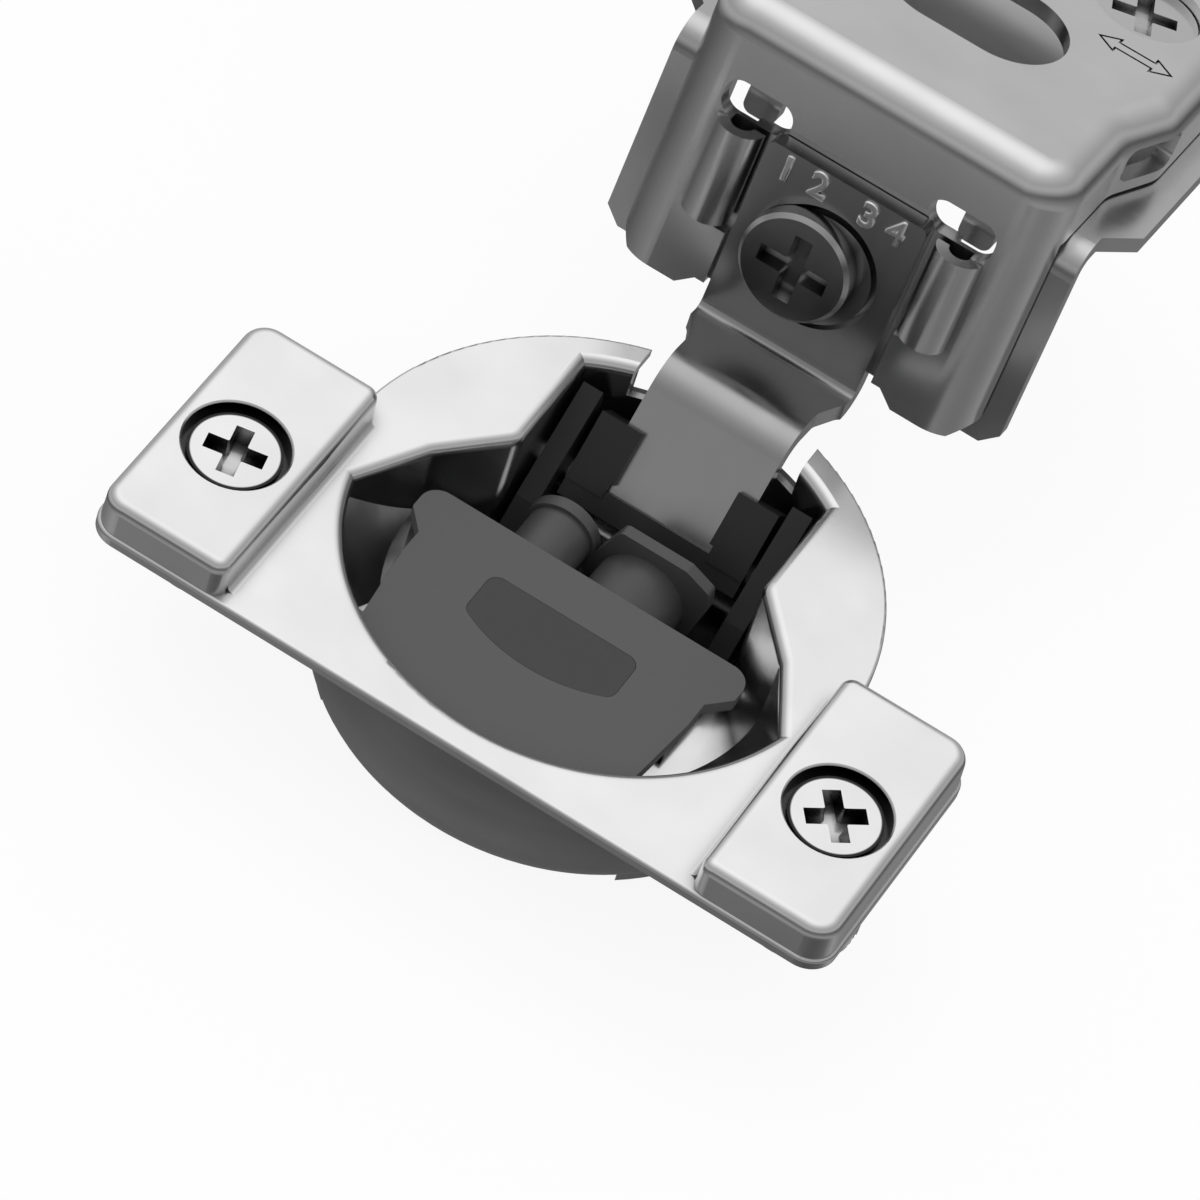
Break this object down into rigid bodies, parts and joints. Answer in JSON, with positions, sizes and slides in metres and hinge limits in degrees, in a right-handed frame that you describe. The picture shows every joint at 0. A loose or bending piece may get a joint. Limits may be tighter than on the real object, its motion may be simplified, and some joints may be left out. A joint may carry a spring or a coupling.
{
  "type": "concealed cup hinge",
  "caption": "Face-frame concealed hinge with a screw-on cup, built-in soft-close damper, folded arm and a wrap-round bracket with overlay and height adjustment.",
  "frame": {"origin": "centre of the cup on the underside of its flange, the face of the door", "axes": "+X along the line of the two cup screws, +Y from the cup towards the arm, +Z out of the door"},
  "size_m": [0.0548, 0.0768, 0.0331],
  "materials": {
    "nickel_plate": "bright satin nickel plating",
    "arm_steel": "dark polished nickel on folded steel",
    "screw_steel": "bright zinc plating",
    "cam_steel": "dark polished nickel",
    "pin_steel": "ground steel",
    "dowel_plastic": "pale grey nylon",
    "black_plastic": "black moulded plastic",
    "cover_plastic": "flat mid grey plastic",
    "panel_plastic": "flat dark grey plastic",
    "slider_plastic": "dark grey plastic"
  },
  "bodies": {
    "cup": {"cup": "nickel_plate", "dowel_left": "dowel_plastic", "dowel_right": "dowel_plastic", "dowel_screw_left": "screw_steel", "dowel_screw_right": "screw_steel", "pivot_pin": "pin_steel", "inner_frame": "black_plastic", "damper_body": "pin_steel", "spring_guide": "pin_steel", "closing_spring": "pin_steel", "damper_cover": "cover_plastic", "cover_panel": "panel_plastic"},
    "slider": {"damper_slider": "slider_plastic", "damper_rod": "pin_steel"},
    "arm": {"arm_strap": "arm_steel", "cam_shoe": "black_plastic"},
    "housing": {"bracket_housing": "nickel_plate"},
    "overlay_cam": {"overlay_cam_screw": "cam_steel", "overlay_cam_washer": "pin_steel"},
    "base": {"bracket_base": "nickel_plate"},
    "height_cam": {"height_cam_screw": "screw_steel"}
  },
  "joints": [
    {"name": "door_pivot", "type": "hinge", "parent": "cup", "child": "arm", "pos_m": [0, 0.0118, -0.0072], "axis": [1, 0, 0], "range_deg": [-2.3, 102.7]},
    {"name": "damper_slide", "type": "slide", "parent": "cup", "child": "slider", "axis": [0, -1, 0], "range_m": [-0.0001, 0.0038], "deforming": ["closing_spring"]},
    {"name": "overlay_slide", "type": "slide", "parent": "arm", "child": "housing", "axis": [0, 0.2198, 0.9755], "range_m": [-0.00087, 0.00087]},
    {"name": "overlay_cam_turn", "type": "hinge", "parent": "housing", "child": "overlay_cam", "pos_m": [-0.00092, 0.0251, 0.00742], "axis": [0, 0.9755, -0.2198], "range_deg": [-49.9, 49.9]},
    {"name": "height_slide", "type": "slide", "parent": "housing", "child": "base", "axis": [1, 0, 0], "range_m": [-0.0017, 0.0017]},
    {"name": "height_cam_turn", "type": "hinge", "parent": "housing", "child": "height_cam", "pos_m": [0.0084, 0.05199, 0.01438], "axis": [0, 0.2198, 0.9755], "range_deg": [-48.8, 48.8]}
  ],
  "couplings": [
    {"joint": "damper_slide", "follows": "door_pivot", "m_per_rad": 0.002064},
    {"joint": "overlay_cam_turn", "follows": "overlay_slide", "rad_per_m": 1000},
    {"joint": "height_cam_turn", "follows": "height_slide", "rad_per_m": 500}
  ]
}
